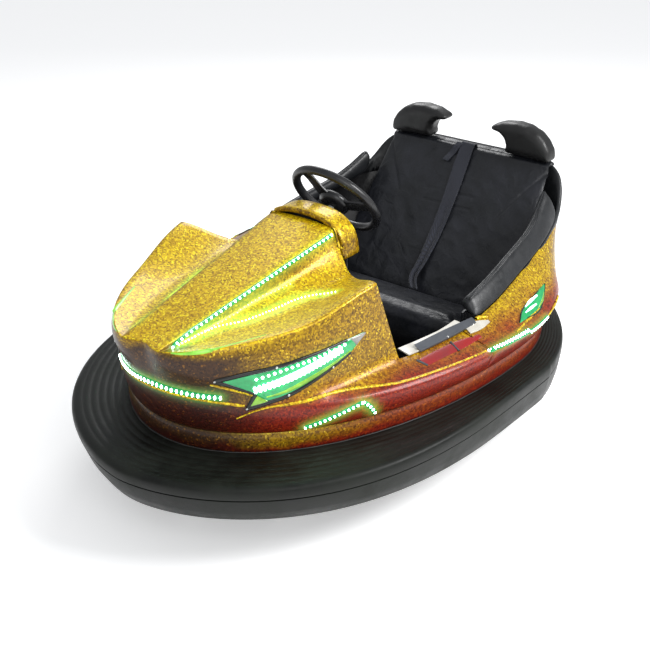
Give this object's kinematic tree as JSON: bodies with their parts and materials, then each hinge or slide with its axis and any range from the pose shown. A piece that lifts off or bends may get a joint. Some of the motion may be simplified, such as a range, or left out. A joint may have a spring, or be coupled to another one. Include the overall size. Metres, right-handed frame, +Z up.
{
  "type": "fairground bumper car",
  "caption": "Battery bumper car: rubber ring bumper, glitter gel-coat body with lamp strips, padded bench seat and steered drive wheel.",
  "frame": {"origin": "on the ground, below the middle of the rubber ring", "axes": "+X forwards, +Y to the driver's left, +Z up"},
  "size_m": [1.744, 1.28, 0.8547],
  "materials": {
    "gold_gelcoat": "gold glitter gel-coat under clear, fading to dark red low on the sides",
    "bumper_rubber": "moulded rubber, ribbed on top, scuffed",
    "black_vinyl": "grained upholstery vinyl",
    "frame_steel": "satin black paint",
    "bare_steel": "brushed, with tread pattern on the sills",
    "lamp_lens": "green tinted lens, lit",
    "black_plastic": "moulded, fine grain",
    "wheel_tyre": "solid rubber",
    "motor_paint": "grey-blue machine paint",
    "belt_webbing": "woven navy webbing"
  },
  "bodies": {
    "chassis": {"chassis_frame": "frame_steel", "floor_pan": "frame_steel", "bumper_rim": "frame_steel", "bumper_ring": "bumper_rubber", "lower_skirt": "gold_gelcoat", "front_body": "gold_gelcoat", "rear_body": "gold_gelcoat", "headlight_left": "lamp_lens", "headlight_right": "lamp_lens", "tail_light_left": "lamp_lens", "tail_light_right": "lamp_lens", "front_light_strip": "lamp_lens", "cowl_hoop": "gold_gelcoat", "dash_panel": "frame_steel", "steering_column": "frame_steel", "steering_box": "frame_steel", "rear_bracket_left": "frame_steel", "rear_bracket_right": "frame_steel", "rear_pin_left": "bare_steel", "rear_pin_right": "bare_steel", "drive_bridge": "frame_steel", "seat_base": "black_vinyl", "battery_pack": "black_plastic", "seat_cushion": "black_vinyl", "seat_back": "black_vinyl", "seat_belt": "belt_webbing", "arm_pad_left": "black_vinyl", "arm_pad_right": "black_vinyl", "side_panel_left": "black_vinyl", "side_panel_right": "black_vinyl", "kick_plate_left": "bare_steel", "kick_plate_right": "bare_steel", "accelerator_pedal": "bare_steel", "head_fin_left": "black_vinyl", "head_fin_right": "black_vinyl"},
    "steering_wheel": {"steering_wheel": "black_plastic", "steering_shaft": "bare_steel"},
    "drive_unit": {"drive_fork": "frame_steel", "drive_axle": "bare_steel", "drive_motor": "motor_paint"},
    "drive_wheel": {"drive_tyre": "wheel_tyre", "drive_hub": "bare_steel"},
    "rear_wheel_left": {"rear_left_tyre": "wheel_tyre", "rear_left_hub": "bare_steel"},
    "rear_wheel_right": {"rear_right_tyre": "wheel_tyre", "rear_right_hub": "bare_steel"}
  },
  "joints": [
    {"name": "drive_unit_steer", "type": "hinge", "parent": "chassis", "child": "drive_unit", "pos_m": [0.36, 0, 0.1], "axis": [0, 0, 1], "continuous": true},
    {"name": "steering_wheel_turn", "type": "hinge", "parent": "chassis", "child": "steering_wheel", "pos_m": [-0.068, 0, 0.73], "axis": [-0.809, 0, 0.5878], "continuous": true},
    {"name": "drive_wheel_roll", "type": "hinge", "parent": "drive_unit", "child": "drive_wheel", "pos_m": [0.36, 0, 0.1], "axis": [0, 1, 0], "continuous": true},
    {"name": "rear_wheel_left_roll", "type": "hinge", "parent": "chassis", "child": "rear_wheel_left", "pos_m": [-0.46, 0.366, 0.065], "axis": [0, 1, 0], "continuous": true},
    {"name": "rear_wheel_right_roll", "type": "hinge", "parent": "chassis", "child": "rear_wheel_right", "pos_m": [-0.46, -0.366, 0.065], "axis": [0, 1, 0], "continuous": true}
  ],
  "couplings": [
    {"joint": "steering_wheel_turn", "follows": "drive_unit_steer", "ratio": 1}
  ]
}
